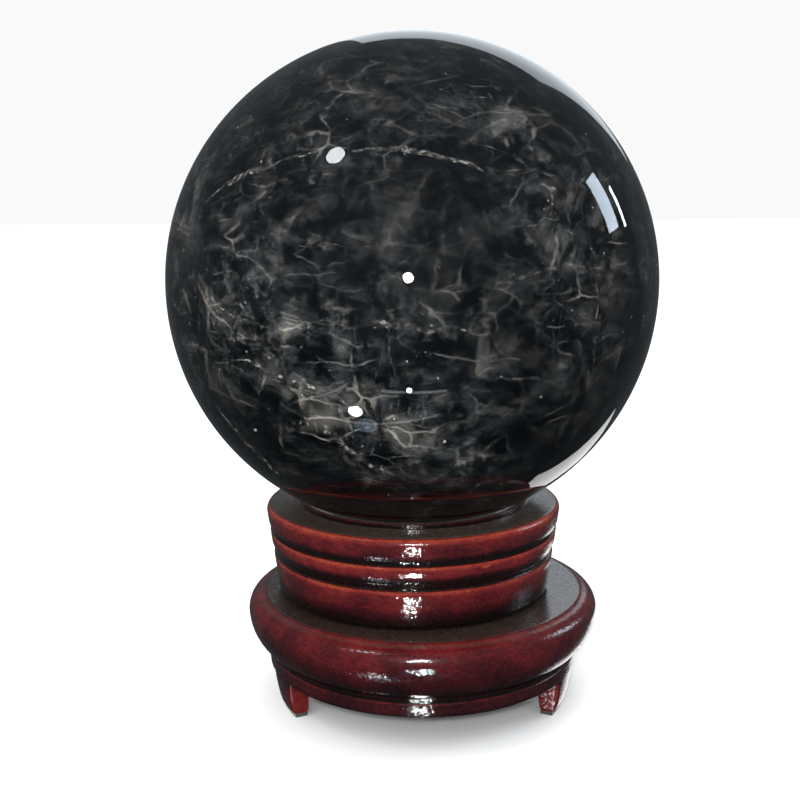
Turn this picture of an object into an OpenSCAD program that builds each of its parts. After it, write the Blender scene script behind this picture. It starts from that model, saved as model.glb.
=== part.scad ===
// Polished quartz ball on a turned wooden stand. The cup that holds the ball
// turns on the base, on a ring of steel balls held down by a pivot bolt.
// Millimetres, +Z up. The origin is on the floor, under the ball's centre.

/* [Ball] */
// Diameter of the ball
ball_d = 150; // [140:1:158]
// Radius of the circle on which the ball sits
seat_r = 32; // [30:0.5:33]

/* [Cup] */
// Radius of the cup at its rim
cup_rim_r = 46.8; // [46:0.1:50]
// Radius of the cup at its foot
cup_foot_r = 43.3; // [42:0.1:45]
// Depth of the two turned grooves
groove_depth = 0.9; // [0.4:0.1:1.5]

/* [Base] */
// Radius of the base at its fullest
base_r = 56.1; // [55:0.1:60]
// Thickness of the base block
base_t = 19; // [18:0.5:22]
// How far the base's centre lies beside the pivot
base_offset = 2.8; // [0:0.1:3]

/* [Plinth and feet] */
// Outer radius of the plinth ring
plinth_r = 49.8; // [48:0.1:51]
// Thickness of the plinth ring
plinth_t = 4.2; // [3.5:0.1:6]
// Height of a foot, with its pad
foot_h = 12.4; // [9:0.1:16]
// Angle from the front to each front foot
foot_turn = 65; // [55:1:70]
// Width of a foot where it meets the plinth
foot_w = 14.5; // [12:0.5:18]

/* [Bearing] */
// Number of balls in the bearing
bearing_count = 12; // [8:1:14]
// Radius of a bearing ball
bearing_ball_r = 2.4; // [2:0.1:2.4]
// Radius of the circle of bearing balls
bearing_pitch_r = 28; // [27.5:0.1:28.5]
// Gap between the cup and the base
turn_gap = 0.8; // [0.6:0.1:1]

/* [Hidden] */
$fn = 96;

// Heights, from the floor up
plinth_z = foot_h;
base_z = plinth_z + plinth_t;
base_top = base_z + base_t;
cup_z = base_top + turn_gap;
cup_h = 27.7;
cup_top = cup_z + cup_h;
collar_h = 1.4;
ball_r = ball_d / 2;
seat_z = cup_top + 0.07;
ball_z = seat_z + sqrt(ball_r * ball_r - seat_r * seat_r);

// Felt ring of the seat, laid along the ball's tangent
felt_t = 1.2;
felt_half_w = 2.2;
felt_gap = 0.1;
seat_out = [seat_r, seat_z - ball_z] / ball_r;
seat_along = [-seat_out.y, seat_out.x];
dish_gap = 2.5;
collar_r = 36.4;
collar_lip_w = 1.1;

// Cup side: where each turned band starts and ends, above the cup's foot
band_top = [25.4, 19.2, 11.6];
band_end = [20.9, 14.4, 1.2];
fillet_h = 0.7;
rim_round = 2;

// Bearing recesses
race_t = 2;
race_in_r = 22;
race_out_r = 36;
recess_r = 37;
recess_d = 3.4;
race_groove_r = 2.55;
race_screw_r = 33;
bearing_z = (base_top + cup_z) / 2;
cage_t = 0.8;
cage_w = 7;

// Pivot
bolt_r = 3;
bolt_head_r = 5.8;
bolt_head_h = 3.7;
bush_r = 4.5;
bush_bore_r = 3.06;
bush_flange_r = 8;
bush_flange_t = 1.2;
counterbore_r = 12;
counterbore_d = 8;
insert_r = 4.2;
insert_h = 10;
washer_t = 1.1;
wave_t = 0.9;
stack_gap = 0.1;

// Plinth and feet
plinth_w = 8.1;
foot_angles = [-foot_turn, foot_turn, 180];
foot_tip_out = 2.8;
foot_tip_in = 0.6;
foot_taper = 9;
pad_t = 1.2;
foot_screw_r = 1.1;
foot_screw_head_r = 1.8;
foot_screw_l = 22;
foot_mid_r = plinth_r - 5.15;

wood = [0.33, 0.05, 0.04];
dark_wood = [0.2, 0.03, 0.03];
steel = [0.7, 0.7, 0.72];
brass = [0.8, 0.62, 0.3];
felt = [0.08, 0.08, 0.07];
cover_all = 0.02;

function arc(c, r, a0, a1, n = 8) =
    [for (i = [0 : n]) let (a = a0 + (a1 - a0) * i / n) c + r * [cos(a), sin(a)]];

// Radius of the cup's tapered side at a height above its foot
function cup_side(h) = cup_foot_r + (cup_rim_r - cup_foot_r) * h / band_top[0];

module ring(r_out, r_in, h) {
    difference() {
        cylinder(r = r_out, h = h);
        translate([0, 0, -1]) cylinder(r = r_in, h = h + 2);
    }
}

// Everything that belongs to the base stands on the base's own centre
module at_base() {
    translate([base_offset, 0, 0]) children();
}

// Puts its children at a foot's place, with the foot pointing along +X
module at_foot(angle) {
    at_base() rotate(angle - 90) children();
}

// Wood screw with a countersunk head, head up, its top at the origin
module wood_screw(shank_r, head_r, length) {
    head_h = head_r - shank_r;
    translate([0, 0, -head_h]) cylinder(r1 = shank_r, r2 = head_r, h = head_h);
    translate([0, 0, -length + shank_r]) cylinder(r = shank_r, h = length - head_h - shank_r + cover_all);
    translate([0, 0, -length]) cylinder(r1 = 0.1, r2 = shank_r, h = shank_r + cover_all);
}

module wood_screw_hole(shank_r, head_r, length) {
    head_h = head_r - shank_r;
    translate([0, 0, -head_h - cover_all])
        cylinder(r1 = shank_r + cover_all, r2 = head_r + 2 * cover_all, h = head_h + 2 * cover_all);
    translate([0, 0, -length - 0.3]) cylinder(r = shank_r + cover_all, h = length);
}

module crystal_ball() {
    color([0.03, 0.035, 0.04]) translate([0, 0, ball_z]) sphere(r = ball_r);
}

function felt_point(out, along) =
    [0, ball_z] + (ball_r + out) * seat_out + along * seat_along;

module seat_felt_ring() {
    color(felt) rotate_extrude() polygon([
        felt_point(felt_gap, -felt_half_w),
        felt_point(felt_gap + felt_t, -felt_half_w),
        felt_point(felt_gap + felt_t, felt_half_w),
        felt_point(felt_gap, felt_half_w)]);
}

// One groove of the cup's side: a small fillet, the groove, and the next band's edge
function cup_groove(i) = let (low = band_top[i], high = band_end[i - 1]) [
    [cup_side(low) - 0.35, cup_z + low - 0.5],
    [cup_side(low) - 0.05, cup_z + low],
    [cup_side(low) - groove_depth, cup_z + low + 0.35],
    [cup_side(low) - groove_depth, cup_z + low + 0.75],
    [cup_side(high) - 0.55, cup_z + high - fillet_h],
    [cup_side(high) - 0.5, cup_z + high],
    [cup_side(high) - 0.25, cup_z + high + 0.1]];

module cup_profile() {
    rim_z = cup_top - rim_round;
    polygon(concat(
        [[0, cup_z]],
        [[cup_foot_r - 1.1, cup_z]],
        arc([cup_foot_r - 1.1, cup_z + 1.2], 1.2, -60, 0, 4),
        cup_groove(2),
        cup_groove(1),
        arc([cup_rim_r - rim_round, rim_z], rim_round, -8, 78),
        [[collar_r + 0.3, cup_top - 0.05],
            [collar_r, cup_top + 0.15],
            [collar_r, cup_top + collar_h - 0.35]],
        arc([collar_r - 0.35, cup_top + collar_h - 0.35], 0.35, 20, 90, 4),
        [[collar_r - collar_lip_w, cup_top + collar_h],
            felt_point(felt_gap + 0.5, felt_half_w + 0.45),
            felt_point(felt_gap + felt_t, felt_half_w + 0.05),
            felt_point(felt_gap + felt_t, -felt_half_w - 0.3)],
        [for (i = [0 : 12]) let (a = (1 - i / 12) * 23.2)
            [0, ball_z] + (ball_r + dish_gap) * [sin(a), -cos(a)]]));
}

module cup() {
    color(wood) difference() {
        rotate_extrude() cup_profile();
        translate([0, 0, cup_z - 1]) cylinder(r = recess_r, h = recess_d + 1);
        translate([0, 0, cup_z]) cylinder(r = insert_r, h = recess_d + insert_h + 0.4);
        for (a = [30, 150, 270]) rotate(a)
            translate([race_screw_r, 0, cup_z + recess_d - race_t]) mirror([0, 0, 1])
                wood_screw_hole(1.2, 2.4, 9);
    }
}

module thread_insert() {
    color(brass) translate([0, 0, cup_z + recess_d + 0.1]) ring(insert_r, bolt_r, insert_h);
}

// Pressed ring with a ball groove and three countersunk holes, groove side up
module race() {
    difference() {
        ring(race_out_r, race_in_r, race_t);
        translate([0, 0, race_t + race_groove_r - 0.75])
            rotate_extrude() translate([bearing_pitch_r, 0]) circle(r = race_groove_r);
        for (a = [30, 150, 270]) rotate(a) translate([race_screw_r, 0, race_t])
            wood_screw_hole(1.2, 2.4, 9);
    }
}

module race_screws() {
    for (a = [30, 150, 270]) rotate(a) translate([race_screw_r, 0, 0]) wood_screw(1.2, 2.4, 9);
}

module upper_race() {
    color(steel) translate([0, 0, cup_z + recess_d]) mirror([0, 0, 1]) race();
}

module upper_race_screws() {
    color(steel) translate([0, 0, cup_z + recess_d - race_t]) mirror([0, 0, 1]) race_screws();
}

module lower_race() {
    color(steel) translate([0, 0, base_top - recess_d]) race();
}

module lower_race_screws() {
    color(steel) translate([0, 0, base_top - recess_d + race_t]) race_screws();
}

module bearing_cage() {
    color(brass) translate([0, 0, bearing_z - cage_t / 2]) difference() {
        ring(bearing_pitch_r + cage_w / 2, bearing_pitch_r - cage_w / 2, cage_t);
        for (i = [1 : bearing_count]) rotate(i * 360 / bearing_count)
            translate([bearing_pitch_r, 0, -1]) cylinder(r = bearing_ball_r + 0.1, h = cage_t + 2);
    }
}

module bearing_balls() {
    color(steel) for (i = [1 : bearing_count]) rotate(i * 360 / bearing_count)
        translate([bearing_pitch_r, 0, bearing_z]) sphere(r = bearing_ball_r);
}

// Side of the base: flat top, a full round that draws in below, then a thin fillet
module base_profile() {
    shoulder_r = 5.6;
    belly_r = 14;
    belly_z = base_top - shoulder_r;
    polygon(concat(
        [[0, base_z], [plinth_r - 0.5, base_z], [plinth_r - 0.5, base_z + 0.8]],
        [[plinth_r + 0.3, base_z + 1], [plinth_r + 0.3, base_z + 1.7], [plinth_r, base_z + 1.9]],
        [[plinth_r, base_z + 2.7], [plinth_r + 0.9, base_z + 3.1]],
        arc([base_r - belly_r, belly_z], belly_r, -44, 0, 10),
        arc([base_r - shoulder_r + 0.6, belly_z], shoulder_r - 0.6, 6, 78, 8),
        [[base_r - shoulder_r + 0.9, base_top - 0.42],
            [base_r - shoulder_r + 0.2, base_top],
            [0, base_top]]));
}

module base_block() {
    color(wood) difference() {
        at_base() rotate_extrude() base_profile();
        translate([0, 0, base_top - recess_d]) cylinder(r = recess_r, h = recess_d + 1);
        translate([0, 0, base_z - 1]) cylinder(r = bush_r, h = base_t + 2);
        translate([0, 0, base_z - 1]) cylinder(r = counterbore_r, h = counterbore_d + 1);
        for (a = [30, 150, 270]) rotate(a)
            translate([race_screw_r, 0, base_top - recess_d + race_t]) wood_screw_hole(1.2, 2.4, 9);
        for (a = foot_angles) at_foot(a) translate([foot_mid_r, 0, pad_t]) mirror([0, 0, 1])
            wood_screw_hole(foot_screw_r, foot_screw_head_r, foot_screw_l);
    }
}

module pivot_bush() {
    color([0.9, 0.9, 0.86]) translate([0, 0, base_z + counterbore_d]) difference() {
        union() {
            translate([0, 0, -bush_flange_t]) cylinder(r = bush_flange_r, h = bush_flange_t);
            translate([0, 0, -0.1]) cylinder(r = bush_r, h = base_t - counterbore_d - recess_d);
        }
        translate([0, 0, -bush_flange_t - 1]) cylinder(r = bush_bore_r, h = base_t);
    }
}

washer_z = base_z + counterbore_d - bush_flange_t - stack_gap - washer_t;
wave_z = washer_z - wave_t;
head_z = wave_z - bolt_head_h;

module pivot_bolt() {
    color(steel) {
        difference() {
            translate([0, 0, head_z]) cylinder(r = bolt_head_r, h = bolt_head_h, $fn = 6);
            translate([0, 0, head_z - 0.5]) cylinder(r = 2.6, h = 1);
        }
        translate([0, 0, head_z + bolt_head_h - 0.1])
            cylinder(r = bolt_r, h = cup_z + recess_d + insert_h - head_z - bolt_head_h);
    }
}

module flat_washer() {
    color(steel) translate([0, 0, washer_z]) ring(7, bolt_r + 0.2, washer_t);
}

module wave_washer() {
    color(steel) translate([0, 0, wave_z]) ring(6.2, bolt_r + 0.2, wave_t);
}

module plinth_ring() {
    color(dark_wood) difference() {
        at_base() translate([0, 0, plinth_z]) rotate_extrude() polygon(concat(
            [[plinth_r - plinth_w, 0], [plinth_r - 0.4, 0], [plinth_r - 0.1, 0.3]],
            arc([plinth_r - 0.6, plinth_t - 0.6], 0.6, 0, 90, 5),
            [[plinth_r - plinth_w, plinth_t]]));
        for (a = foot_angles) at_foot(a) translate([foot_mid_r, 0, pad_t]) mirror([0, 0, 1])
            wood_screw_hole(foot_screw_r, foot_screw_head_r, foot_screw_l);
    }
}

// Section of a foot: flush with the plinth at the top, drawn in towards the floor
module foot_profile() {
    top_in = plinth_r - plinth_w;
    tip_in = top_in + foot_tip_in;
    tip_out = plinth_r - foot_tip_out;
    polygon(concat(
        [[top_in, foot_h], [top_in + 0.1, foot_h - 2]],
        [[tip_in, pad_t + 1.5], [tip_in + 0.2, pad_t]],
        [[tip_out - 0.4, pad_t], [tip_out, pad_t + 0.4]],
        [[plinth_r - 1.1, foot_h - 6], [plinth_r - 0.3, foot_h]]));
}

module foot(angle) {
    color(wood) at_foot(angle) difference() {
        rotate([0, 0, -15]) rotate_extrude(angle = 30) foot_profile();
        for (s = [0, 1]) mirror([0, s, 0]) translate([0, foot_w / 2, foot_h])
            rotate([foot_taper, 0, 0]) translate([0, 0, -30]) cube([60, 20, 40]);
        translate([foot_mid_r, 0, pad_t]) mirror([0, 0, 1])
            wood_screw_hole(foot_screw_r, foot_screw_head_r, foot_screw_l);
    }
}

module foot_screws() {
    color(steel) for (a = foot_angles) at_foot(a) translate([foot_mid_r, 0, pad_t])
        mirror([0, 0, 1]) wood_screw(foot_screw_r, foot_screw_head_r, foot_screw_l);
}

module foot_pad(angle) {
    pad_w = foot_w - 2 * (foot_h - pad_t) * tan(foot_taper) - 0.6;
    color(felt) at_foot(angle) intersection() {
        ring(plinth_r - foot_tip_out - 0.5, plinth_r - plinth_w + foot_tip_in + 0.4, pad_t);
        translate([0, -pad_w / 2, 0]) cube([60, pad_w, pad_t]);
    }
}

crystal_ball();
seat_felt_ring();
cup();
thread_insert();
upper_race();
upper_race_screws();
bearing_cage();
bearing_balls();
lower_race();
lower_race_screws();
base_block();
pivot_bush();
pivot_bolt();
flat_washer();
wave_washer();
plinth_ring();
foot(foot_angles[0]);  // foot_left
foot(foot_angles[1]);  // foot_right
foot(foot_angles[2]);  // foot_back
foot_screws();
foot_pad(foot_angles[0]);  // foot_pad_left
foot_pad(foot_angles[1]);  // foot_pad_right
foot_pad(foot_angles[2]);  // foot_pad_back
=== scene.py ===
"""Crystal ball of smoky quartz on a turned stand in red lacquer: looks, light and camera.

Sections, sizes and mesh points are in millimetres. The floor, lights and camera are in metres.
"""

import math
import random

import bmesh
import bpy
from mathutils import Matrix, Vector, noise


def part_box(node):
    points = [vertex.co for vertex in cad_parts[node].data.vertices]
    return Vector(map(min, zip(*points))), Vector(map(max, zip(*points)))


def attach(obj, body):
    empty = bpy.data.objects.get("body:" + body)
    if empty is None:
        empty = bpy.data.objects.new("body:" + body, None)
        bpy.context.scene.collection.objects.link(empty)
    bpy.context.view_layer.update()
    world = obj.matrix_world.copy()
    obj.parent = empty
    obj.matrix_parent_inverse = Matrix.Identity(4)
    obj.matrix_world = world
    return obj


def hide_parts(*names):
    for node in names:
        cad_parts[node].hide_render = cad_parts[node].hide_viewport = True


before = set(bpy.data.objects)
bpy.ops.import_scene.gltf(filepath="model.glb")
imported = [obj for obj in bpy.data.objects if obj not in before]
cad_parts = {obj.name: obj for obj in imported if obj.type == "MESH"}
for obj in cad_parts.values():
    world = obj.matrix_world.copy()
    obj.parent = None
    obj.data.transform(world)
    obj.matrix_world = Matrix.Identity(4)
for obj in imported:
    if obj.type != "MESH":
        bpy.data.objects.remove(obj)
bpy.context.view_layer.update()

MM = 0.001
SEGMENTS = 480  # points round a turned piece
random.seed(7)


# ---------------------------------------------------------------- sizes from the frame
def span(node, axis):
    """Lowest and highest value of a CAD node along an axis, in mm."""
    low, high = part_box(node)
    return low[axis] / MM, high[axis] / MM


BALL_R = (span("crystal_ball", 2)[1] - span("crystal_ball", 2)[0]) / 2
BALL_Z = sum(span("crystal_ball", 2)) / 2
CUP_Z, COLLAR_TOP = span("cup", 2)
COLLAR_H = 1.4
CUP_TOP = COLLAR_TOP - COLLAR_H
BASE_Z, BASE_TOP = span("base_block", 2)
BASE_X = sum(span("base_block", 0)) / 2
BASE_R = (span("base_block", 0)[1] - span("base_block", 0)[0]) / 2
PLINTH_Z = span("plinth_ring", 2)[0]
PLINTH_R = (span("plinth_ring", 0)[1] - span("plinth_ring", 0)[0]) / 2
PLINTH_W = 8.1
PAD_T = span("foot_pad_back", 2)[1]
FOOT_ANGLES = {"foot_left": -65, "foot_right": 65, "foot_back": 180}


# ---------------------------------------------------------------- mesh helpers
def arc(centre, radius, start, end, count=10):
    """Points of an arc in a turned piece's section, from start to end degrees."""
    points = []
    for i in range(count + 1):
        a = math.radians(start + (end - start) * i / count)
        points.append((centre[0] + radius * math.cos(a), centre[1] + radius * math.sin(a)))
    return points


def toned(points, *tones):
    """Section points with a tone each, spread evenly between the given tones."""
    out = []
    last = len(points) - 1
    for i, (r, z) in enumerate(points):
        at = i / last * (len(tones) - 1)
        k = min(int(at), len(tones) - 2)
        out.append((r, z, tones[k] + (tones[k + 1] - tones[k]) * (at - k)))
    return out


def resampled(section, step):
    """The section with points no further apart than step, so that the relief has vertices to move."""
    out = []
    for (r0, z0, t0), (r1, z1, t1) in zip(section, section[1:]):
        count = max(1, math.ceil(math.hypot(r1 - r0, z1 - z0) / step))
        for i in range(count):
            f = i / count
            out.append((r0 + (r1 - r0) * f, z0 + (z1 - z0) * f, t0 + (t1 - t0) * f))
    out.append(section[-1])
    return out


def make_object(name, mesh_data, material, body):
    """An object in the scene that rides on a CAD body and takes the given material."""
    obj = bpy.data.objects.new(name, mesh_data)
    bpy.context.scene.collection.objects.link(obj)
    obj.data.materials.append(material)
    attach(obj, body)
    return obj


def mesh_from(name, vertices, faces, attributes=None, smooth=True):
    """A mesh from points in millimetres, with optional float attributes on its points."""
    mesh = bpy.data.meshes.new(name)
    mesh.from_pydata([(x * MM, y * MM, z * MM) for x, y, z in vertices], [], faces)
    mesh.update()
    for key, values in (attributes or {}).items():
        layer = mesh.attributes.new(key, "FLOAT", "POINT")
        layer.data.foreach_set("value", values)
    mesh.polygons.foreach_set("use_smooth", [smooth] * len(mesh.polygons))
    return mesh


RELIEF_FROM_R = 30  # the bores and the dish, nearer to the axis, stay smooth


def orange_peel(x, y, z, depth):
    """Unevenness of hand-laid lacquer on turned wood, in mm, never above 0."""
    broad = noise.noise(Vector((x, y, z)) / 9.0)
    fine = noise.noise(Vector((x, y, z)) / 2.2 + Vector((7, 3, 1)))
    return depth * (0.6 * broad + 0.4 * fine - 1)


def ring_faces(rings, segments, first=0):
    """Quads between neighbouring rings of points, each ring closed on itself."""
    faces = []
    for i in range(rings - 1):
        low = first + i * segments
        high = low + segments
        for s in range(segments):
            t = (s + 1) % segments
            faces.append((low + s, low + t, high + t, high + s))
    return faces


def lathe(name, section, centre_x, segments=SEGMENTS, relief=0.05):
    """A turned piece from section points (radius, height, tone); centre_x gives a point's axis."""
    vertices, tones = [], []
    for r, z, tone in section:
        shift = centre_x(r, z)
        for s in range(segments):
            a = 2 * math.pi * s / segments
            x, y = math.cos(a), math.sin(a)
            depth = orange_peel(shift + r * x, r * y, z, relief) if r > RELIEF_FROM_R else 0
            vertices.append((shift + (r + depth) * x, (r + depth) * y, z))
            tones.append(tone)
    return mesh_from(name, vertices, ring_faces(len(section), segments), {"tone": tones})


def face_outwards(mesh, extra=(), smooth=False):
    """Adds the extra faces, each a run of point numbers, and turns every face outwards."""
    bm = bmesh.new()
    bm.from_mesh(mesh)
    bm.verts.ensure_lookup_table()
    for corners in extra:
        bm.faces.new([bm.verts[i] for i in corners]).smooth = smooth
    bmesh.ops.recalc_face_normals(bm, faces=bm.faces)
    bm.to_mesh(mesh)
    bm.free()
    return mesh


def close_ring(mesh, segments, rings):
    """Joins a lathed mesh's last ring to its first, for a section that runs all the way round."""
    last = (rings - 1) * segments
    pairs = [(s, (s + 1) % segments) for s in range(segments)]
    return face_outwards(mesh, [(last + s, last + t, t, s) for s, t in pairs], smooth=True)


def close_caps(mesh, segments, rings):
    """Fills the first and last ring of a lathed mesh with one face each."""
    starts = (0, (rings - 1) * segments)
    return face_outwards(mesh, [range(start, start + segments) for start in starts])


def block_faces(index, high, across, deep):
    """Quads over the six sides of a block. The index numbers its points by height, width and depth."""
    faces = []

    def skin(a, b, key):
        """One side: a and b are the lengths of its running axes, and key places them in the index."""
        for u in range(a):
            for v in range(b):
                corners = ((u, v), (u + 1, v), (u + 1, v + 1), (u, v + 1))
                faces.append(tuple(index[key(*corner)] for corner in corners))

    for e in (0, across):
        skin(high, deep, lambda u, v: (u, e, v))
    for e in (0, deep):
        skin(high, across, lambda u, v: (u, v, e))
    for e in (0, high):
        skin(across, deep, lambda u, v: (e, u, v))
    return faces


def sharpen(mesh, degrees):
    """Shades smooth except over edges sharper than the given angle."""
    mesh.set_sharp_from_angle(angle=math.radians(degrees))


# ---------------------------------------------------------------- material helpers
class Nodes:
    """A short way to wire a Principled material."""

    def __init__(self, name):
        self.material = bpy.data.materials.new(name)
        self.material.use_nodes = True
        self.tree = self.material.node_tree
        self.shader = self.tree.nodes["Principled BSDF"]
        self.place = self.add("TexCoord").outputs["Object"]

    def add(self, kind, **settings):
        node = self.tree.nodes.new("ShaderNode" + kind)
        for key, value in settings.items():
            setattr(node, key, value)
        return node

    def link(self, source, target):
        self.tree.links.new(source, target)

    def set(self, **values):
        """Numbers and colours on the shader's own sockets."""
        for key, value in values.items():
            self.shader.inputs[key.replace("_", " ")].default_value = value

    def noise(self, size_mm, detail=4.0, roughness=0.55, distortion=0.0, stretch=(1, 1, 1), shift=0.0):
        """Fractal noise whose features are size_mm across."""
        mapping = self.add("Mapping")
        mapping.inputs["Scale"].default_value = stretch
        mapping.inputs["Location"].default_value = (shift, shift * 0.7, -shift)
        self.link(self.place, mapping.inputs["Vector"])
        node = self.add("TexNoise")
        node.inputs["Scale"].default_value = 1 / (size_mm * MM)
        node.inputs["Detail"].default_value = detail
        node.inputs["Roughness"].default_value = roughness
        node.inputs["Distortion"].default_value = distortion
        self.link(mapping.outputs["Vector"], node.inputs["Vector"])
        return node.outputs["Fac"]

    def math(self, operation, a, b, clamp=False):
        node = self.add("Math", operation=operation, use_clamp=clamp)
        for socket, value in zip(node.inputs, (a, b)):
            if isinstance(value, (int, float)):
                socket.default_value = value
            else:
                self.link(value, socket)
        return node.outputs[0]

    def remap(self, value, low, high, to_low=0.0, to_high=1.0):
        node = self.add("MapRange", clamp=True, interpolation_type="SMOOTHSTEP")
        self.link(value, node.inputs["Value"])
        node.inputs["From Min"].default_value = low
        node.inputs["From Max"].default_value = high
        node.inputs["To Min"].default_value = to_low
        node.inputs["To Max"].default_value = to_high
        return node.outputs["Result"]

    def ramp(self, value, *stops):
        node = self.add("ValToRGB")
        elements = node.color_ramp.elements
        while len(elements) < len(stops):
            elements.new(0.5)
        for element, (position, colour) in zip(elements, stops):
            element.position = position
            element.color = (*colour, 1)
        self.link(value, node.inputs["Fac"])
        return node.outputs["Color"]

    def attribute(self, name):
        return self.add("Attribute", attribute_name=name).outputs["Fac"]

    def bump(self, height, strength, distance_mm):
        node = self.add("Bump")
        node.inputs["Strength"].default_value = strength
        node.inputs["Distance"].default_value = distance_mm * MM
        self.link(height, node.inputs["Height"])
        return node.outputs["Normal"]


def crack_distance(m, size_mm, shift, bend):
    """Distance to the walls between flat cells, in shares of a cell, the walls bent by noise."""
    warp = m.add("TexNoise")
    warp.inputs["Scale"].default_value = 1 / (size_mm * 0.6 * MM)
    warp.inputs["Detail"].default_value = 4
    m.link(m.place, warp.inputs["Vector"])
    mix = m.add("Mix", data_type="VECTOR")
    mix.inputs["Factor"].default_value = bend
    mapping = m.add("Mapping")
    flat = 1 / (size_mm * MM)
    mapping.inputs["Scale"].default_value = (flat * 0.72, flat * 0.72, flat * 1.5)
    mapping.inputs["Location"].default_value = (shift, -shift, shift * 0.3)
    m.link(m.place, mapping.inputs["Vector"])
    m.link(mapping.outputs["Vector"], mix.inputs["A"])
    m.link(warp.outputs["Color"], mix.inputs["B"])
    cells = m.add("TexVoronoi", feature="DISTANCE_TO_EDGE")
    cells.inputs["Scale"].default_value = 1.0
    m.link(mix.outputs["Result"], cells.inputs["Vector"])
    return cells.outputs["Distance"]


def lacquer(name, lift=0.0, dust_and_sheen_amount=1.0, coat_roughness=0.03):
    """Red lacquer on turned wood, coloured by each section point's tone: orange-red crests with painted
    highlights, maroon sides, black grooves and undersides that are partly a dark glaze and partly
    painted shade, and upward-facing tops with dust and a painted sheen.
    """
    m = Nodes(name)
    mottle = m.remap(m.noise(11, 3), 0.3, 0.7, -0.07, 0.07)
    grain = m.remap(m.noise(2.6, 5, 0.7, stretch=(1, 1, 2.6), shift=3), 0.35, 0.65, -0.05, 0.05)
    speck = m.remap(m.noise(0.42, 2, 0.6, shift=5), 0.42, 0.72, 0.035, -0.13)
    # The tone attribute carries painted highlights on the crests and painted shade in the grooves,
    # under the bands and where parts meet.
    tone = m.math("ADD", m.attribute("tone"), m.math("ADD", mottle, m.math("ADD", grain, speck)))
    tone = m.math("ADD", tone, lift)
    colour = m.ramp(
        tone,
        (0.0, (0.0022, 0.0016, 0.0014)),
        (0.3, (0.008, 0.0016, 0.002)),
        (0.52, (0.030, 0.0022, 0.004)),
        (0.75, (0.102, 0.0064, 0.0075)),
        (0.92, (0.200, 0.023, 0.013)),
        (1.0, (0.235, 0.045, 0.018)),
    )
    # Upward-facing tops are mixed towards olive grey: partly dust, partly a painted sheen standing in
    # for the room mirrored in the lacquer.
    facing = m.add("SeparateXYZ")
    m.link(m.add("NewGeometry").outputs["Normal"], facing.inputs[0])
    level = m.remap(facing.outputs["Z"], 0.86, 0.995)
    patches = m.remap(m.noise(1.7, 6, 0.7, shift=6), 0.25, 0.7, 0.45 * dust_and_sheen_amount, dust_and_sheen_amount)
    dust_and_sheen = m.math("MULTIPLY", level, patches)
    dust_and_sheen_mix = m.add("Mix", data_type="RGBA")
    dust_and_sheen_mix.inputs["B"].default_value = (0.066, 0.050, 0.040, 1)
    m.link(dust_and_sheen, dust_and_sheen_mix.inputs["Factor"])
    m.link(colour, dust_and_sheen_mix.inputs["A"])
    m.link(dust_and_sheen_mix.outputs["Result"], m.shader.inputs["Base Color"])
    m.link(m.remap(m.noise(0.9, 3, shift=2), 0.3, 0.7, 0.22, 0.42), m.shader.inputs["Roughness"])
    m.link(m.remap(dust_and_sheen, 0.0, 1.0, 0.95, 0.6), m.shader.inputs["Coat Weight"])
    m.set(Coat_Roughness=coat_roughness, Coat_IOR=1.5, Specular_IOR_Level=0.15)
    pores = m.bump(m.noise(0.55, 3, 0.6, shift=8), 0.35, 0.06)
    m.link(pores, m.shader.inputs["Normal"])
    peel = m.bump(m.noise(1.0, 2, 0.55, shift=11), 1.0, 0.11)
    m.link(peel, m.shader.inputs["Coat Normal"])
    return m.material


def polished_quartz():
    """The ball's polished skin: clear, with faint wiping marks."""
    m = Nodes("quartz_polish")
    m.set(Base_Color=(0.93, 0.95, 0.97, 1), Transmission_Weight=1.0, IOR=1.5)
    m.link(m.remap(m.noise(14, 6, 0.7), 0.45, 0.75, 0.0, 0.035), m.shader.inputs["Roughness"])
    m.link(m.bump(m.noise(22, 2, 0.4), 0.04, 0.05), m.shader.inputs["Normal"])
    smoke = m.add("VolumeAbsorption")
    smoke.inputs["Color"].default_value = (0.04, 0.09, 0.13, 1)
    smoke.inputs["Density"].default_value = 55
    m.link(smoke.outputs["Volume"], m.tree.nodes["Material Output"].inputs["Volume"])
    return m.material


def quartz_heart():
    """The depth of the stone, where almost no light comes back."""
    m = Nodes("quartz_heart")
    cloud = m.noise(26, 5, 0.6, 0.6)
    colour = m.ramp(
        cloud,
        (0.35, (0.0035, 0.0060, 0.0085)),
        (0.62, (0.011, 0.0155, 0.020)),
        (0.8, (0.030, 0.033, 0.036)),
    )
    m.link(colour, m.shader.inputs["Base Color"])
    m.link(m.remap(cloud, 0.3, 0.7, 0.7, 0.95), m.shader.inputs["Roughness"])
    m.set(Specular_IOR_Level=0.0)
    return m.material


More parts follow.
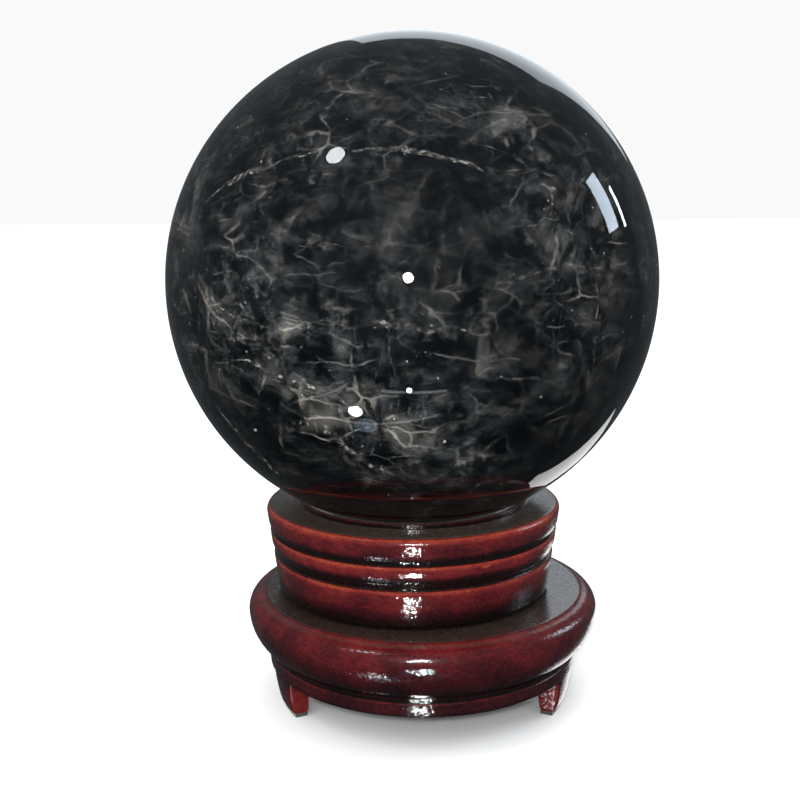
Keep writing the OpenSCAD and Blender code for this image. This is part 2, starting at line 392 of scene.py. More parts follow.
def veil(name, colour, size_mm, shift, haze):
    """A healed fracture: broken pale threads and needles on a haze of the given strength."""
    m = Nodes(name)
    density = m.attribute("cloud")
    wide = crack_distance(m, size_mm, shift, 0.26)
    close = crack_distance(m, size_mm * 0.45, shift + 4, 0.28)
    web = m.remap(wide, 0.0, 0.020, 0.8, 0.0)
    threads = m.remap(close, 0.0, 0.036, 0.58, 0.0)
    glow = m.remap(wide, 0.0, 0.17, 0.2, 0.0)
    upright = m.noise(size_mm * 0.3, 3, 0.5, stretch=(1.8, 1.8, 0.09), shift=shift + 9)
    needles = m.remap(upright, 0.61, 0.70, 0.0, 0.45)
    lines = m.math("MAXIMUM", m.math("MAXIMUM", web, threads), m.math("MAXIMUM", glow, needles))
    broken = m.remap(m.noise(size_mm * 0.45, 6, 0.68, 0.3, shift=shift + 2), 0.46, 0.66)
    cloud = m.remap(m.noise(size_mm * 0.5, 7, 0.72, 0.5, shift=shift + 6), 0.50, 0.80, 0.0, haze)
    body = m.math("ADD", m.math("MULTIPLY", lines, broken), cloud)
    m.link(m.math("MULTIPLY", body, density, clamp=True), m.shader.inputs["Alpha"])
    tint = m.ramp(m.noise(17, 3, shift=shift + 1), (0.3, tuple(c * 0.7 for c in colour)), (0.7, colour))
    m.link(tint, m.shader.inputs["Base Color"])
    m.set(Roughness=0.75, Specular_IOR_Level=0.1)
    return m.material


def fracture_material():
    """Bright broken edges and flakes inside the stone."""
    m = Nodes("fracture_flash")
    rag = m.remap(m.noise(1.0, 6, 0.75), 0.42, 0.58)
    m.link(m.math("MULTIPLY", rag, m.attribute("cloud"), clamp=True), m.shader.inputs["Alpha"])
    tint = m.ramp(
        m.noise(6, 3),
        (0.3, (0.30, 0.26, 0.22)),
        (0.55, (0.55, 0.52, 0.46)),
        (0.75, (0.85, 0.85, 0.82)),
    )
    m.link(tint, m.shader.inputs["Base Color"])
    m.set(Roughness=0.35, Metallic=0.15)
    return m.material


def fleck_material():
    """Loose flakes, some pearly and some dull."""
    m = Nodes("fleck_pearl")
    shade = m.noise(3.5, 3)
    tint = m.ramp(
        shade,
        (0.35, (0.16, 0.15, 0.13)),
        (0.5, (0.45, 0.44, 0.41)),
        (0.65, (0.85, 0.86, 0.86)),
    )
    m.link(tint, m.shader.inputs["Base Color"])
    m.link(m.remap(shade, 0.3, 0.7, 0.5, 0.25), m.shader.inputs["Roughness"])
    return m.material


def fibre_felt(name, dark, light):
    """Pressed felt: short crossing fibres."""
    m = Nodes(name)
    fibres = m.noise(0.5, 6, 0.75, 1.5)
    m.link(m.ramp(fibres, (0.3, dark), (0.7, light)), m.shader.inputs["Base Color"])
    m.link(m.remap(fibres, 0.3, 0.7, 0.85, 1.0), m.shader.inputs["Roughness"])
    m.set(Sheen_Weight=0.5, Sheen_Roughness=0.5)
    m.link(m.bump(fibres, 0.8, 0.25), m.shader.inputs["Normal"])
    return m.material


def metal(name, dark, light, rough):
    """Metal with machining marks and handling stains."""
    m = Nodes(name)
    marks = m.noise(3.0, 6, 0.7, stretch=(1, 1, 8))
    m.link(m.ramp(marks, (0.3, dark), (0.7, light)), m.shader.inputs["Base Color"])
    m.link(m.remap(marks, 0.3, 0.7, rough, rough + 0.15), m.shader.inputs["Roughness"])
    m.set(Metallic=1.0)
    m.link(m.bump(marks, 0.25, 0.05), m.shader.inputs["Normal"])
    return m.material


def nylon_material():
    """Moulded nylon, slightly waxy."""
    m = Nodes("nylon")
    flow = m.noise(4, 4)
    tint = m.ramp(flow, (0.3, (0.62, 0.60, 0.52)), (0.7, (0.75, 0.74, 0.68)))
    m.link(tint, m.shader.inputs["Base Color"])
    m.link(m.remap(flow, 0.3, 0.7, 0.35, 0.5), m.shader.inputs["Roughness"])
    m.link(m.bump(m.noise(0.6, 3), 0.2, 0.05), m.shader.inputs["Normal"])
    return m.material


# ---------------------------------------------------------------- the ball
HEART_R = 56
COVER = 0.9  # clear stone kept over everything inside


def direction(azimuth, elevation):
    """Unit vector from the ball's centre; azimuth 0 is the front and 90 the right."""
    a, e = math.radians(azimuth), math.radians(elevation)
    return Vector((math.cos(e) * math.sin(a), -math.cos(e) * math.cos(a), math.sin(e)))


def round_shell(name, radius, wrinkle, wrinkle_size, rings, segments, seed=0.0, density=None):
    """A closed sheet round the ball's centre, wrinkled by noise. A faint wrinkle only goes inwards."""
    vertices, densities = [], []
    for i in range(rings + 1):
        elevation = max(-89.9, min(89.9, -90 + 180 * i / rings))
        for s in range(segments):
            out = direction(360 * s / segments, elevation)
            at = out * (radius / wrinkle_size) + Vector((seed, seed * 2, -seed))
            lump = noise.fractal(at, 0.8, 2.1, 4)
            if wrinkle > 0.2:
                r = min(radius + wrinkle * lump, BALL_R - COVER)
            else:
                r = radius - wrinkle * (1 + lump) / 2
            p = out * r
            vertices.append((p.x, p.y, BALL_Z + p.z))
            if density:
                densities.append(density(out, r))
    attributes = {"cloud": densities} if density else None
    mesh = mesh_from(name, vertices, ring_faces(rings + 1, segments), attributes)
    return close_caps(mesh, segments, rings + 1)


# Where the stone is cloudy: azimuth, elevation, spread in degrees, strength
CLOUDS = [
    (-30, -10, 22, 1.0),
    (-14, -22, 14, 0.9),
    (-44, -2, 14, 0.7),
    (-5, -36, 15, 0.75),
    (38, 12, 13, 1.0),
    (32, 24, 12, 0.7),
    (42, -8, 14, 0.75),
    (22, 42, 10, 0.9),
    (-22, 28, 14, 0.5),
    (14, -28, 16, 0.45),
    (8, -4, 14, 0.4),
    (-15, 42, 12, 0.5),
    (95, 10, 30, 0.8),
    (150, -15, 32, 0.9),
    (190, 25, 30, 0.8),
    (240, -5, 30, 0.8),
    (285, 20, 26, 0.6),
    (120, 50, 28, 0.6),
    (0, 80, 25, 0.4),
]
CLOUD_WAYS = [(direction(az, el), spread, strength) for az, el, spread, strength in CLOUDS]


def cloudiness(out, r):
    """How much of a veil shows in a direction, fading away deep in the stone."""
    near = sum(
        strength * math.exp(-((math.degrees(out.angle(way)) / spread) ** 2))
        for way, spread, strength in CLOUD_WAYS
    )
    fade = min(1.0, max(0.0, (r - HEART_R) / 16))
    return min(1.2, 0.07 + near) * (0.3 + 0.7 * fade)


# Healed fractures: start and end as (azimuth, elevation), depth, width, strength, sag in degrees
FRACTURES = [
    ((-51, 21), (-33, 27), 2.0, 5.0, 1.0, 1.0),
    ((-33, 27), (-15, 31), 2.2, 3.4, 0.8, 1.0),
    ((-14, 30), (16, 25), 2.0, 4.4, 1.1, 1.5),
    ((-45, 13.5), (-14, 13), 4.0, 0.8, 0.5, -0.3),
    ((-38, 10.2), (0, 10.5), 5.0, 0.8, 0.5, 0.4),
    ((29, 22), (30, -12), 3.0, 1.1, 0.5, 0.8),
    ((40, 5), (44, -22), 3.5, 1.2, 0.5, -1.0),
    ((35, 8), (34, -6), 5.0, 0.8, 0.4, 0.4),
    ((-49, 2), (-30, -5), 3.0, 1.5, 0.5, -1.5),
    ((-40, -12), (-14, -21), 3.5, 2.0, 0.7, 1.5),
    ((-20, -4), (16, -6), 4.0, 2.2, 0.5, 0.8),
    ((-6, -3), (-4, -22), 4.0, 1.1, 0.5, 0.6),
    ((-24, -20), (-6, -40), 4.0, 2.4, 0.6, -2.0),
    ((-8, 3), (8, 14), 4.0, 0.9, 0.5, 1.0),
    ((-24, 36), (-8, 47), 3.0, 2.2, 0.6, -1.0),
    ((16, 44), (28, 40), 3.0, 3.2, 0.8, 1.5),
    ((30, 30), (38, 18), 3.0, 3.0, 0.6, 1.0),
    ((18, -16), (36, -19), 4.5, 1.0, 0.4, 1.0),
    ((2, -40), (22, -30), 5.0, 1.5, 0.4, -1.0),
]


SCATTERED_FRACTURES = 90
FLECKS = 620


def add_ribbon(vertices, faces, density, start, end, depth, width, strength, sag):
    """A ragged strip just under the stone's skin, thin at its ends and torn along its edges."""
    a, b = direction(*start), direction(*end)
    length = math.degrees(a.angle(b))
    steps = max(12, int(length * 2.2))
    side = a.cross(b).normalized()
    across = 6
    first = len(vertices)
    seed = Vector((start[0], end[1], depth))
    for i in range(steps + 1):
        f = i / steps
        middle = a.slerp(b, f) + side * math.radians(sag) * math.sin(math.pi * f)
        middle += side * 0.016 * noise.noise(seed + Vector((f * length / 5, 0, 0)))
        lumps = abs(noise.noise(seed * 2 + Vector((f * length / 3, 4, 0))))
        swell = math.sin(math.pi * f) ** 0.5 * (0.55 + 0.9 * lumps)
        for j in range(across + 1):
            w = (j / across - 0.5) * 2
            p = (middle + side * w * swell * width / BALL_R / 2).normalized()
            r = BALL_R - depth - 1.8 * w * swell + 0.8 * noise.noise(p * 20 + seed)
            p = p * min(r, BALL_R - COVER)
            vertices.append((p.x, p.y, BALL_Z + p.z))
            edge = 1 - abs(w) ** 1.5
            gaps = noise.noise(seed * 3 + Vector((f * length / 1.6, w, 0)))
            density.append(strength * edge * (0.1 + 5.5 * gaps ** 2))
    for i in range(steps):
        for j in range(across):
            k = first + i * (across + 1) + j
            faces.append((k, k + 1, k + across + 2, k + across + 1))


def build_fractures():
    """The named fractures, and many shorter ones scattered all round the stone."""
    vertices, faces, density = [], [], []
    for fracture in FRACTURES:
        add_ribbon(vertices, faces, density, *fracture)
    for _ in range(SCATTERED_FRACTURES):
        az, el = random.uniform(-180, 180), math.degrees(math.asin(random.uniform(-0.85, 0.95)))
        turn, length = random.uniform(0, 2 * math.pi), random.uniform(4, 22)
        end_az = az + length * math.cos(turn) / math.cos(math.radians(el))
        end_el = max(-80, min(80, el + length * math.sin(turn)))
        strength = random.uniform(0.15, 0.5) * (0.4 if abs(az) < 60 else 1.2)
        depth, width, sag = random.uniform(3, 12), random.uniform(0.5, 2.2), random.uniform(-2, 2)
        add_ribbon(vertices, faces, density, (az, el), (end_az, end_el), depth, width, strength, sag)
    return mesh_from("healed_fractures", vertices, faces, {"cloud": density})


def build_flecks():
    """Tiny flakes that catch the light, thickest where the stone is cloudy."""
    vertices, faces = [], []
    made = 0
    while made < FLECKS:
        out = Vector((random.gauss(0, 1), random.gauss(0, 1), random.gauss(0, 1))).normalized()
        r = BALL_R - random.uniform(1.5, 14)
        if random.random() > cloudiness(out, r):
            continue
        made += 1
        centre = out * r
        size = random.uniform(0.16, 0.46) * (2.0 if random.random() < 0.06 else 1)
        angle = random.uniform(0, math.tau)
        turn = Matrix.Rotation(angle, 3, Vector((random.gauss(0, 1), random.gauss(0, 1), 1)))
        first = len(vertices)
        corners = random.choice((4, 5, 6))
        for c in range(corners):
            a = math.tau * c / corners
            corner = turn @ Vector((math.cos(a), math.sin(a) * random.uniform(0.3, 1), 0))
            p = centre + corner * size * random.uniform(0.6, 1.2)
            vertices.append((p.x, p.y, BALL_Z + p.z))
        faces.append(tuple(range(first, first + corners)))
    return mesh_from("flecks", vertices, faces, smooth=False)


def build_ball():
    """The polished skin, and inside it the dark heart, the veils, the fractures and the flecks.

    The skin casts no shadow, so that light reaches the veils. The heart casts the ball's shadow.
    """
    skin = round_shell("ball_skin", BALL_R - 0.02, 0.05, 30, 180, 360)
    ball = make_object("ball_skin", skin, polished_quartz(), "ball")
    ball.visible_shadow = False
    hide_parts("crystal_ball")
    heart = round_shell("ball_heart", HEART_R, 2.5, 25, 90, 180, seed=3)
    make_object("ball_heart", heart, quartz_heart(), "ball")
    layers = [
        ("veil_outer", 71.5, 3.0, 20, (0.47, 0.43, 0.38), 24, 1.0, 0.38),
        ("veil_middle", 67, 3.5, 24, (0.39, 0.385, 0.36), 20, 5.0, 0.5),
        ("veil_deep", 62, 3.5, 26, (0.30, 0.33, 0.35), 17, 9.0, 0.55),
    ]
    for name, radius, wrinkle, wrinkle_size, colour, size, seed, haze in layers:
        mesh = round_shell(name, radius, wrinkle, wrinkle_size, 150, 300, seed, cloudiness)
        make_object(name, mesh, veil(name, colour, size, seed, haze), "ball")
    make_object("healed_fractures", build_fractures(), fracture_material(), "ball")
    make_object("flecks", build_flecks(), fleck_material(), "ball")


# ---------------------------------------------------------------- the stand
TURNED_CREASE = 38  # degrees
RECESS_R, RECESS_D = 37, 3.4
BAND_TOP = (25.4, 19.2, 11.6)
BAND_END = (20.9, 14.4, 1.2)
RIM_R = (span("cup", 0)[1] - span("cup", 0)[0]) / 2
FOOT_R = RIM_R - 3.5
GROOVE = 0.9
SEAT_R = 32
SEAT_OUT = (SEAT_R / BALL_R, -math.sqrt(1 - (SEAT_R / BALL_R) ** 2))


def seat_point(out, along):
    """A point of the section beside the seat: out from the ball's skin, and along it."""
    return (
        (BALL_R + out) * SEAT_OUT[0] - along * SEAT_OUT[1],
        BALL_Z + (BALL_R + out) * SEAT_OUT[1] + along * SEAT_OUT[0],
    )


def cup_side(h):
    """Radius of the cup's side at a height above its foot."""
    return FOOT_R + (RIM_R - FOOT_R) * h / BAND_TOP[0]


def cup_section():
    """The cup's outline with its tones, which paint highlights on the arrises and shade in the grooves
    and corners: the bore, the outside with its bands, and the dish.
    """

    def groove(i):
        low, high = BAND_TOP[i], BAND_END[i - 1]
        # Each band's upper arris gets a painted highlight. The groove and the underside of the band
        # above go black: partly a dark glaze, partly painted shade.
        return [
            (cup_side(low - 3.0), CUP_Z + low - 3.0, 0.66),
            (cup_side(low - 1.2), CUP_Z + low - 1.2, 0.74),
            (cup_side(low) - 0.35, CUP_Z + low - 0.5, 0.92),
            (cup_side(low) - 0.05, CUP_Z + low - 0.1, 1.0),
            (cup_side(low) - 0.35, CUP_Z + low + 0.1, 0.5),
            (cup_side(low) - GROOVE, CUP_Z + low + 0.35, 0.12),
            (cup_side(low) - GROOVE, CUP_Z + low + 0.75, 0.05),
            (cup_side(high) - 0.55, CUP_Z + high - 0.7, 0.2),
            (cup_side(high) - 0.5, CUP_Z + high, 0.1),
            (cup_side(high) - 0.25, CUP_Z + high + 0.1, 0.28),
            (cup_side(high + 1.3), CUP_Z + high + 1.3, 0.55),
        ]

    rim_z = CUP_TOP - 2
    section = [(0.01, CUP_Z + 13.8, 0.1), (4.2, CUP_Z + 13.8, 0.1), (4.2, CUP_Z + RECESS_D, 0.1)]
    section += [(RECESS_R, CUP_Z + RECESS_D, 0.1), (RECESS_R, CUP_Z, 0.05)]
    # Near black at the cup's foot where it sits on the base: partly a dark glaze, partly painted shade.
    section += toned(arc((FOOT_R - 1.1, CUP_Z + 1.2), 1.2, -60, 0, 4), 0.05, 0.15)
    section += [(cup_side(3.5), CUP_Z + 3.5, 0.42), (cup_side(6), CUP_Z + 6, 0.62)]
    section += groove(2) + groove(1)
    # Painted highlight along the rounded rim, brightest at its upper edge.
    section += toned(arc((RIM_R - 2, rim_z), 2, -8, 40, 6), 0.66, 0.9)
    section += toned(arc((RIM_R - 2, rim_z), 2, 46, 78, 5), 1.0, 0.5)
    section += [(RIM_R - 3.4, CUP_TOP - 0.03, 0.2), (41, CUP_TOP - 0.05, 0.33)]
    # Painted shade in the corner at the collar's foot and under the ball's seat, and a painted
    # highlight along the collar's top edge.
    section += [(36.7, CUP_TOP - 0.05, 0.2)]
    section += [(36.4, CUP_TOP + 0.15, 0.1), (36.4, COLLAR_TOP - 0.35, 0.35)]
    section += toned(arc((36.05, COLLAR_TOP - 0.35), 0.35, 20, 90, 4), 0.6, 0.45)
    section += [(35.3, COLLAR_TOP, 0.2)]
    section += [(*seat_point(0.6, 2.65), 0.1), (*seat_point(1.3, 2.25), 0.05)]
    section += [(*seat_point(1.3, -2.5), 0.05)]
    dish_r = BALL_R + 2.5
    for i in range(13):
        a = math.radians((1 - i / 12) * 23.2)
        section.append((dish_r * math.sin(a) + 0.01, BALL_Z - dish_r * math.cos(a), 0.3))
    return section


def build_cup():
    section = resampled(cup_section(), 0.8)
    mesh = lathe("turned_cup", section, lambda r, z: 0.0)
    close_caps(mesh, SEGMENTS, len(section))
    sharpen(mesh, TURNED_CREASE)
    cup = make_object("turned_cup", mesh, lacquer("cup_lacquer"), "turning_cup")
    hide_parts("cup")


def base_section():
    """The base's outline with its tones, which paint highlights on the fillet and shoulder and shade
    below the full round and around the cup: underside, draw-in, full round, top, bearing recess and
    bore.
    """
    shoulder, belly = 5.6, 14
    belly_z = BASE_TOP - shoulder
    section = [(4.5, BASE_TOP - RECESS_D, 0.1), (4.5, BASE_Z + 8, 0.1)]
    section += [(12, BASE_Z + 8, 0.1), (12, BASE_Z, 0.15)]
    section += [(PLINTH_R - 0.5, BASE_Z, 0.1), (PLINTH_R - 0.5, BASE_Z + 0.8, 0.03)]
    # A painted highlight on the thin fillet between dark grooves above the plinth.
    section += [(PLINTH_R + 0.3, BASE_Z + 1, 0.1), (PLINTH_R + 0.3, BASE_Z + 1.7, 0.4)]
    section += [(PLINTH_R, BASE_Z + 1.9, 0.15), (PLINTH_R, BASE_Z + 2.7, 0.02)]
    section += [(PLINTH_R + 0.9, BASE_Z + 3.1, 0.08)]
    # The full round darkens towards its underside and lightens towards its shoulder: painted shade
    # below, a painted highlight on the shoulder's edge.
    section += toned(arc((BASE_R - belly, belly_z), belly, -44, 0, 10), 0.25, 0.42, 0.5, 0.58)
    bend = arc((BASE_R - shoulder + 0.6, belly_z), shoulder - 0.6, 6, 78, 8)
    section += toned(bend, 0.58, 0.6, 0.66, 0.74)
    section += [(BASE_R - shoulder + 0.9, BASE_TOP - 0.42, 0.74)]
    section += [(BASE_R - shoulder + 0.2, BASE_TOP, 0.5)]
    # The top darkens towards the cup: a painted shadow of the cup.
    section += [(BASE_R - shoulder - 1.5, BASE_TOP, 0.38), (44, BASE_TOP, 0.26), (39, BASE_TOP, 0.1)]
    section += [(RECESS_R, BASE_TOP, 0.05), (RECESS_R, BASE_TOP - RECESS_D, 0.05)]
    return section


def base_axis(r, z):
    """The bore and the recess lie on the pivot, and the turned outside on the base's own centre."""
    return BASE_X if r > RECESS_R + 0.5 else 0.0


def build_base():
    section = resampled(base_section(), 0.6)
    mesh = close_ring(lathe("turned_base", section, base_axis), SEGMENTS, len(section))
    sharpen(mesh, TURNED_CREASE)
    # The base gets half the cup's dust and painted sheen.
    look = lacquer("base_lacquer", dust_and_sheen_amount=0.5, coat_roughness=0.07)
    base = make_object("turned_base", mesh, look, "base")
    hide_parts("base_block")


def build_plinth():
    top = span("plinth_ring", 2)[1]
    section = [(PLINTH_R - PLINTH_W, top, 0.2), (PLINTH_R - PLINTH_W, PLINTH_Z, 0.2)]
    # The bead darkens to near black at its foot, painted shade, and gets a painted highlight along its
    # rounded top edge.
    section += [(PLINTH_R - 0.4, PLINTH_Z, 0.05)]
    section += [(PLINTH_R - 0.1, PLINTH_Z + 0.3, 0.35), (PLINTH_R - 0.02, PLINTH_Z + 1.5, 0.52)]
    section += toned(arc((PLINTH_R - 0.62, top - 0.6), 0.6, 0, 90, 5), 0.5, 0.7, 0.3)
    section = resampled(section, 0.4)
    mesh = close_ring(lathe("plinth_bead", section, lambda r, z: BASE_X), SEGMENTS, len(section))
    sharpen(mesh, TURNED_CREASE)
    look = lacquer("plinth_lacquer", -0.04, coat_roughness=0.12)
    plinth = make_object("plinth_bead", mesh, look, "base")
    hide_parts("plinth_ring")


FOOT_W, FOOT_TAPER = 14.5, 9


def foot_side(z):
    """Half the foot's width at a height."""
    return FOOT_W / 2 - (PLINTH_Z - z) * math.tan(math.radians(FOOT_TAPER))


def foot_faces(z):
    """Inner and outer radius of the foot at a height."""
    f = (PLINTH_Z - z) / (PLINTH_Z - PAD_T)
    inner = PLINTH_R - PLINTH_W + 0.6 * f
    outer = PLINTH_R - 0.35 - 1.45 * f - 0.95 * f ** 4
    return inner, outer


def on_base(point, angle):
    """A point given beside the base's axis, along +X, turned to a foot's place."""
    spun = Matrix.Rotation(math.radians(angle - 90), 3, "Z") @ Vector(point)
    return (spun.x + BASE_X, spun.y, spun.z)


def build_foot(name, angle, material):
    """A block foot, flush with the plinth above and drawn in on all sides towards the floor."""
    high, across, deep = 26, 18, 10
    vertices, tones = [], []
    index = {}
    for k in range(high + 1):
        z = PAD_T + (PLINTH_Z - PAD_T) * k / high
        inner, outer = foot_faces(z)
        half = foot_side(z)
        soft = 0.35 * max(0, 1 - k / 2)
        for j in range(across + 1):
            w = 2 * j / across - 1
            for i in range(deep + 1):
                f = i / deep
                if 0 < k < high and 0 < j < across and 0 < i < deep:
                    continue
                round_off = 0.35 * (abs(w) ** 14) * (abs(2 * f - 1) ** 8)
                y = w * (half - round_off - soft * abs(w) ** 6)
                r = inner + (outer - inner) * f
                r += (-soft - round_off) * (2 * f - 1) ** 7
                x = math.sqrt(max(r * r - y * y, 1))
                ripple = orange_peel(x + angle, y, z, 0.05)
                if i == deep:
                    x += ripple
                if j in (0, across):
                    y -= math.copysign(-ripple, y)
                index[k, j, i] = len(vertices)
                vertices.append(on_base((x, y, z), angle))
                # Painted shade on the foot's inner face and at its top under the plinth; the side edges
                # lighter.
                edge_lift, shaded = 0.2 * abs(w) ** 10, 0.3 * (k / high) ** 6
                tones.append(0.62 + edge_lift - shaded - (0.25 if i == 0 else 0))
    faces = block_faces(index, high, across, deep)
    mesh = face_outwards(mesh_from(name, vertices, faces, {"tone": tones}))
    sharpen(mesh, 40)
    foot = make_object(name + "_turned", mesh, material, "base")
    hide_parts(name)


def build_pad(name, angle, material):
    """A felt pad with soft, slightly fuzzy sides."""
    half = foot_side(PAD_T) - 0.3
    inner, outer = PLINTH_R - PLINTH_W + 1.0, PLINTH_R - 3.3
    high, across, deep = 5, 40, 18
    vertices = []
    index = {}
    for k in range(high + 1):
        z = PAD_T * k / high
        for j in range(across + 1):
            for i in range(deep + 1):
                if 0 < k < high and 0 < j < across and 0 < i < deep:
                    continue
                w, f = 2 * j / across - 1, i / deep
                r, y = inner + (outer - inner) * f, w * half
                p = Vector((math.sqrt(r * r - y * y), y, z))
                if j in (0, across) or i in (0, deep):
                    fuzz = 0.12 * (noise.noise(p * 2.5 + Vector((angle, 0, 0))) - 1)
                    centre = Vector(((inner + outer) / 2, 0, z))
                    p += (p - centre).normalized() * fuzz
                index[k, j, i] = len(vertices)
                vertices.append(on_base(p, angle))
    mesh = face_outwards(mesh_from(name, vertices, block_faces(index, high, across, deep)))
    sharpen(mesh, 50)
    pad = make_object(name + "_felt", mesh, material, "base")
    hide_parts(name)


def build_seat_felt():
    """The felt ring under the ball, its edges rounded and fuzzy."""
    thick, half, around = 1.2, 2.2, 540
    ends = arc((half - 0.45, 0.1 + thick / 2), thick / 2 - 0.05, 90, -90, 8)
    ring = ends + [(-x, y) for x, y in reversed(ends)]
    section = [(*seat_point(out, along), 0.5) for along, out in ring]
    section = resampled(section + [section[0]], 0.3)[:-1]
    mesh = close_ring(lathe("seat_felt", section, lambda r, z: 0.0, around, 0.06), around, len(section))
    look = fibre_felt("seat_felt", (0.012, 0.012, 0.011), (0.035, 0.034, 0.03))
    felt = make_object("seat_felt", mesh, look, "turning_cup")
    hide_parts("seat_felt_ring")


def build_drip():
    """A bead of lacquer that ran and set on the cup's middle band, right of the front."""
    azimuth, height = 26.5, CUP_Z + 18.1
    out, side = direction(azimuth, 0), direction(azimuth + 90, 0)
    around, rings = 28, 8
    vertices, faces = [], []
    for layer in (1, -1):
        for i in range(1, rings + 1):
            f = i / rings
            for s in range(around):
                a = math.tau * s / around
                half_height = 0.75 if math.sin(a) < 0 else 0.5
                u, v = 1.35 * math.cos(a) * f, half_height * math.sin(a) * f
                lift = 0.14 + 0.38 * math.sqrt(1 - f * f) if layer > 0 else -0.2
                r = cup_side(height + v - CUP_Z) - 0.2 + lift
                p = out * math.sqrt(r * r - u * u) + side * u
                vertices.append((p.x, p.y, height + v))
    for half in (0, rings):
        faces += ring_faces(rings, around, half * around)
        faces.append(tuple(half * around + s for s in range(around)))
    front, back = (rings - 1) * around, (2 * rings - 1) * around
    for s in range(around):
        t = (s + 1) % around
        faces.append((front + s, front + t, back + t, back + s))
    mesh = face_outwards(mesh_from("lacquer_drip", vertices, faces, {"tone": [0.8] * len(vertices)}))
    make_object("lacquer_drip", mesh, lacquer("drip_lacquer", 0.14), "turning_cup")


HARDWARE = {
    "thread_insert": ("brass_turned", (0.45, 0.30, 0.10), (0.72, 0.52, 0.22), 0.25),
    "bearing_cage": ("brass_sheet", (0.42, 0.28, 0.10), (0.70, 0.50, 0.22), 0.28),
    "upper_race": ("pressed_steel", (0.35, 0.35, 0.36), (0.62, 0.62, 0.63), 0.3),
    "bearing_balls": ("bearing_steel", (0.55, 0.55, 0.57), (0.78, 0.78, 0.80), 0.06),
    "pivot_bolt": ("zinc_steel", (0.45, 0.46, 0.48), (0.70, 0.70, 0.72), 0.25),
}
SAME_METAL = {
    "lower_race": "upper_race",
    "upper_race_screws": "pivot_bolt",
    "lower_race_screws": "pivot_bolt",
    "foot_screws": "pivot_bolt",
    "flat_washer": "pivot_bolt",
    "wave_washer": "pivot_bolt",
}


def paint(node, material):
    """Gives a carried-over CAD node its material."""
    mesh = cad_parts[node].data
    mesh.materials.clear()
    mesh.materials.append(material)


def finish_hardware():
    """Materials for the inner hardware, which keeps its CAD shapes."""
    made = {node: metal(*look) for node, look in HARDWARE.items()}
    for node, material in made.items():
        paint(node, material)
    for node, like in SAME_METAL.items():
        paint(node, made[like])
    paint("pivot_bush", nylon_material())


# ---------------------------------------------------------------- floor, light and camera
def build_floor():
    """A plain pale floor. Mirror rays pass it, so that the lights below it show in the lacquer."""
    half = 40.0
    corners = [(-half, -half, 0), (half, -half, 0), (half, half, 0), (-half, half, 0)]
    mesh = bpy.data.meshes.new("floor")
    mesh.from_pydata(corners, [], [(0, 1, 2, 3)])
    floor = bpy.data.objects.new("floor", mesh)
    bpy.context.scene.collection.objects.link(floor)
    m = Nodes("floor_paper")
    pale = m.ramp(m.noise(60, 2), (0.3, (0.955, 0.955, 0.955)), (0.7, (0.97, 0.97, 0.97)))
    m.link(pale, m.shader.inputs["Base Color"])
    m.set(Roughness=0.9, Specular_IOR_Level=0.1)
    floor.data.materials.append(m.material)
    floor.visible_glossy = False


def add_area(
    name, location, aim, width, height, power, colour=(1, 1, 1), glossy=True, shape="RECTANGLE"
):
    """An area light, unseen by the camera, and seen in mirrors only if it is glossy."""
    light = bpy.data.lights.new(name, "AREA")
    light.shape = shape
    light.size = width
    light.size_y = height
    light.energy = power
    light.color = colour
    obj = bpy.data.objects.new(name, light)
    obj.location = location
    obj.rotation_euler = (Vector(aim) - Vector(location)).to_track_quat("-Z", "Y").to_euler()
    obj.visible_glossy = glossy
    obj.visible_camera = False
    bpy.context.scene.collection.objects.link(obj)


def seen_in_ball(azimuth, elevation, distance):
    """A place far out in a direction from the ball's centre."""
    return Vector((0, 0, BALL_Z * MM)) + direction(azimuth, elevation) * distance


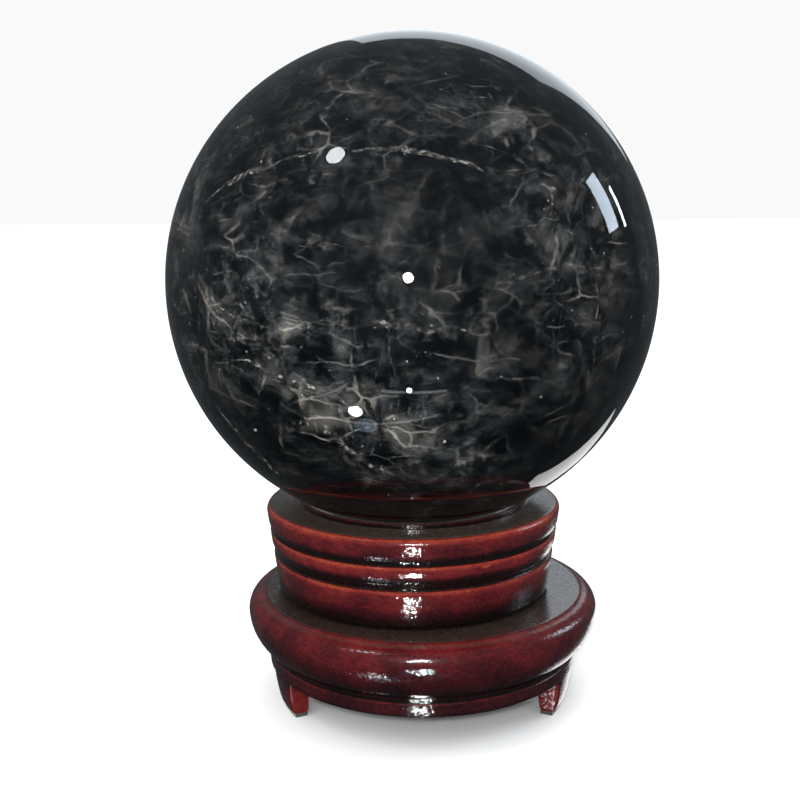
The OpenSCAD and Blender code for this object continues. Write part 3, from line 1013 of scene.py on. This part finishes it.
def build_lights():
    """Soft lights that no mirror shows, then each light that the ball and the lacquer mirror.

    Those below the floor stand for the same lights mirrored in a glossy table.
    """
    ball = (0, 0, BALL_Z * MM)
    add_area("soft_front", (-0.6, -1.1, 1.1), (0, 0, 0.08), 0.9, 0.9, 8, glossy=False)
    add_area("soft_top", (0.2, 0.2, 1.5), (0, 0, 0.1), 1.0, 1.0, 5, glossy=False)
    overhead = bpy.data.objects.new("soft_overhead", bpy.data.lights.new("soft_overhead", "SUN"))
    overhead.data.energy = 0.65
    overhead.data.angle = math.radians(60)
    overhead.visible_glossy = False
    bpy.context.scene.collection.objects.link(overhead)
    add_area("flash", (-0.011, -0.331, 0.168), (0, 0, 0.12), 0.022, 0.022, 0.5, shape="DISK")
    add_area("flash_in_table", (-0.012, -0.345, -0.140), (0, 0, 0.05), 0.015, 0.015, 0.62, shape="DISK")
    add_area("table_edge", (0.0, -1.10, -0.87), ball, 0.66, 0.03, 0.11)
    add_area("table_rim", (-0.22, -0.75, -1.07), ball, 0.96, 0.03, 0.12)
    lamp, haze = seen_in_ball(-35.1, -49.7, 1.5), seen_in_ball(-33, -57, 1.5)
    add_area("lamp_in_table", lamp, ball, 0.15, 0.13, 1.6, (0.93, 0.97, 1.0), shape="ELLIPSE")
    add_area("lamp_haze", haze, ball, 0.24, 0.18, 0.16, (0.55, 0.78, 1.0), shape="ELLIPSE")
    add_area("table_behind", seen_in_ball(150, -35, 1.2), ball, 0.34, 0.50, 0.9, (0.97, 0.97, 0.95))
    room_lamp = seen_in_ball(-51.6, 54.0, 1.5)
    add_area("room_lamp", room_lamp, ball, 0.19, 0.19, 1.5, (0.92, 0.97, 1.0), shape="DISK")
    add_area("window_pane", seen_in_ball(103, 21.5, 1.5), ball, 0.22, 0.42, 2.5, (0.72, 0.85, 1.0))
    add_area("window_slit", seen_in_ball(113.5, 17.5, 1.5), ball, 0.05, 0.28, 0.8, (0.80, 0.90, 1.0))
    add_area("sky", seen_in_ball(168, 26, 1.8), ball, 1.1, 0.9, 3.6, (0.84, 0.92, 1.0))


def build_world():
    """An even pale light on matt surfaces, and a dim room in everything that mirrors."""
    world = bpy.data.worlds.new("studio")
    world.use_nodes = True
    bpy.context.scene.world = world
    tree = world.node_tree
    room = tree.nodes["Background"]
    room.inputs["Color"].default_value = (0.76, 0.86, 0.94, 1)
    place = tree.nodes.new("ShaderNodeTexCoord")
    height = tree.nodes.new("ShaderNodeSeparateXYZ")
    rise = tree.nodes.new("ShaderNodeMapRange")
    rise.inputs["From Min"].default_value = -0.8
    rise.inputs["To Min"].default_value = 0.035
    rise.inputs["To Max"].default_value = 0.19
    tree.links.new(place.outputs["Generated"], height.inputs[0])
    tree.links.new(height.outputs["Z"], rise.inputs["Value"])
    tree.links.new(rise.outputs["Result"], room.inputs["Strength"])
    pale = tree.nodes.new("ShaderNodeBackground")
    pale.inputs["Color"].default_value = (1.0, 1.0, 1.0, 1)
    path = tree.nodes.new("ShaderNodeLightPath")
    backdrop = tree.nodes.new("ShaderNodeMapRange")
    backdrop.inputs["To Min"].default_value = 0.97
    backdrop.inputs["To Max"].default_value = 0.95
    tree.links.new(path.outputs["Is Camera Ray"], backdrop.inputs["Value"])
    tree.links.new(backdrop.outputs["Result"], pale.inputs["Strength"])
    either = tree.nodes.new("ShaderNodeMath")
    either.operation = "MAXIMUM"
    mix = tree.nodes.new("ShaderNodeMixShader")
    tree.links.new(path.outputs["Is Camera Ray"], either.inputs[0])
    tree.links.new(path.outputs["Is Diffuse Ray"], either.inputs[1])
    tree.links.new(either.outputs[0], mix.inputs["Fac"])
    tree.links.new(room.outputs[0], mix.inputs[1])
    tree.links.new(pale.outputs[0], mix.inputs[2])
    tree.links.new(mix.outputs[0], tree.nodes["World Output"].inputs["Surface"])


def build_camera():
    """A camera close to the ball and a little above its centre, looking down at the stand."""
    data = bpy.data.cameras.new("camera")
    data.lens = 47.25
    data.sensor_width = 36
    camera = bpy.data.objects.new("camera", data)
    camera.location = (-0.0039, -0.3284, BALL_Z * MM + 0.0207)
    tilt = Matrix.Rotation(math.radians(80.15), 3, "X")
    roll = Matrix.Rotation(math.radians(-0.46), 3, "Z")
    camera.rotation_euler = (tilt @ roll).to_euler()
    bpy.context.scene.collection.objects.link(camera)
    bpy.context.scene.camera = camera


build_ball()
build_cup()
build_drip()
build_base()
build_plinth()
foot_lacquer = lacquer("foot_lacquer", coat_roughness=0.08)
pad_felt = fibre_felt("pad_felt", (0.02, 0.02, 0.018), (0.06, 0.058, 0.05))
for foot_name, foot_angle in FOOT_ANGLES.items():
    build_foot(foot_name, foot_angle, foot_lacquer)
    build_pad(foot_name.replace("foot", "foot_pad"), foot_angle, pad_felt)
build_seat_felt()
finish_hardware()
build_floor()
build_lights()
build_world()
build_camera()
bpy.context.scene.view_settings.view_transform = "Standard"
